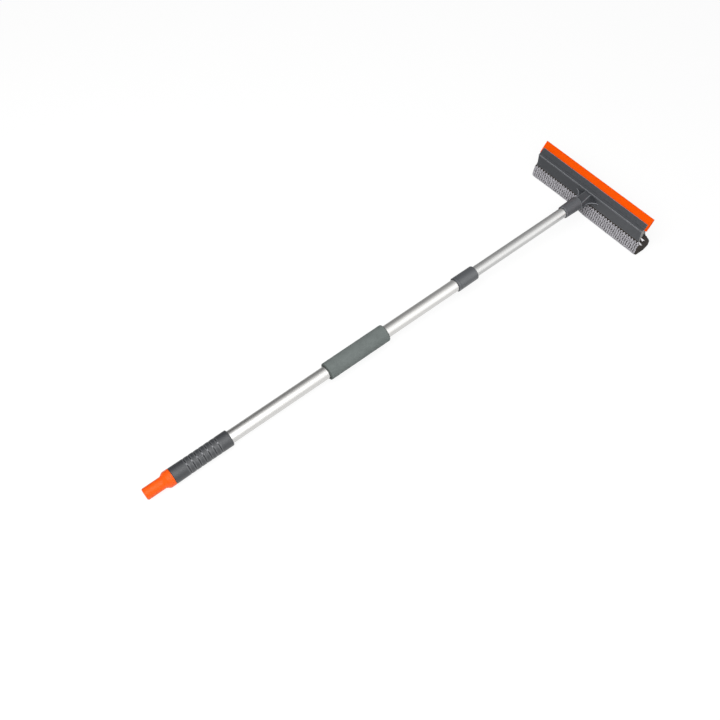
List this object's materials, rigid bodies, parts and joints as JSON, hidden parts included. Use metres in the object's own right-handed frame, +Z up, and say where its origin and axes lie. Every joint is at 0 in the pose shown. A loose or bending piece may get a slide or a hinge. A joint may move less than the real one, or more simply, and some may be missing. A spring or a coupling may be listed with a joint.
{
  "type": "telescopic window squeegee",
  "caption": "Window squeegee on a telescopic pole: a rubber blade and a netted sponge on one head, a twist lock inside the tubes, a foam sleeve and a ribbed grip.",
  "frame": {"origin": "bottom centre of the bounding box, on the floor that the tool lies on", "axes": "+X along the pole from its end cap to the head, +Y along the head's width, +Z up; the pole's own axis rises 2.02 degrees from the floor towards the head"},
  "size_m": [0.9756, 0.2664, 0.0751],
  "materials": {
    "orange_plastic": "moulded, satin",
    "grey_rubber": "moulded, matt",
    "tube_aluminium": "drawn tube, bright",
    "grey_foam": "closed-cell foam, matt and speckled",
    "ferrule_plastic": "moulded, satin",
    "lock_plastic": "moulded, natural white",
    "head_plastic": "moulded, satin",
    "orange_rubber": "soft rubber, satin",
    "carrier_plastic": "extruded, matt",
    "sponge_foam": "open-cell foam, matt",
    "net_yarn": "knitted yarn, matt"
  },
  "bodies": {
    "lower_pole": {"end_cap": "orange_plastic", "ribbed_grip": "grey_rubber", "lower_tube": "tube_aluminium", "foam_sleeve": "grey_foam", "tube_ferrule": "ferrule_plastic"},
    "lock_slider": {"lock_sleeve": "lock_plastic"},
    "lock_wedge": {"lock_cone": "lock_plastic"},
    "upper_pole": {"lock_stud": "lock_plastic", "upper_tube": "tube_aluminium", "head_body": "head_plastic", "rubber_blade": "orange_rubber", "sponge_carrier": "carrier_plastic", "sponge": "sponge_foam", "net_cover": "net_yarn"}
  },
  "joints": [
    {"name": "telescope", "type": "slide", "parent": "lower_pole", "child": "lock_slider", "axis": [0.9994, 0, 0.0353], "range_m": [-0.213, 0.276]},
    {"name": "lock_twist", "type": "hinge", "parent": "lock_slider", "child": "upper_pole", "pos_m": [-0.10623, 0, 0.02637], "axis": [0.9994, 0, 0.0353], "range_deg": [0, 270]},
    {"name": "cone_travel", "type": "slide", "parent": "lock_slider", "child": "lock_wedge", "axis": [-0.9994, 0, -0.0353], "range_m": [0, 0.00225]}
  ],
  "couplings": [
    {"joint": "cone_travel", "follows": "lock_twist", "m_per_rad": 0.00047746}
  ]
}
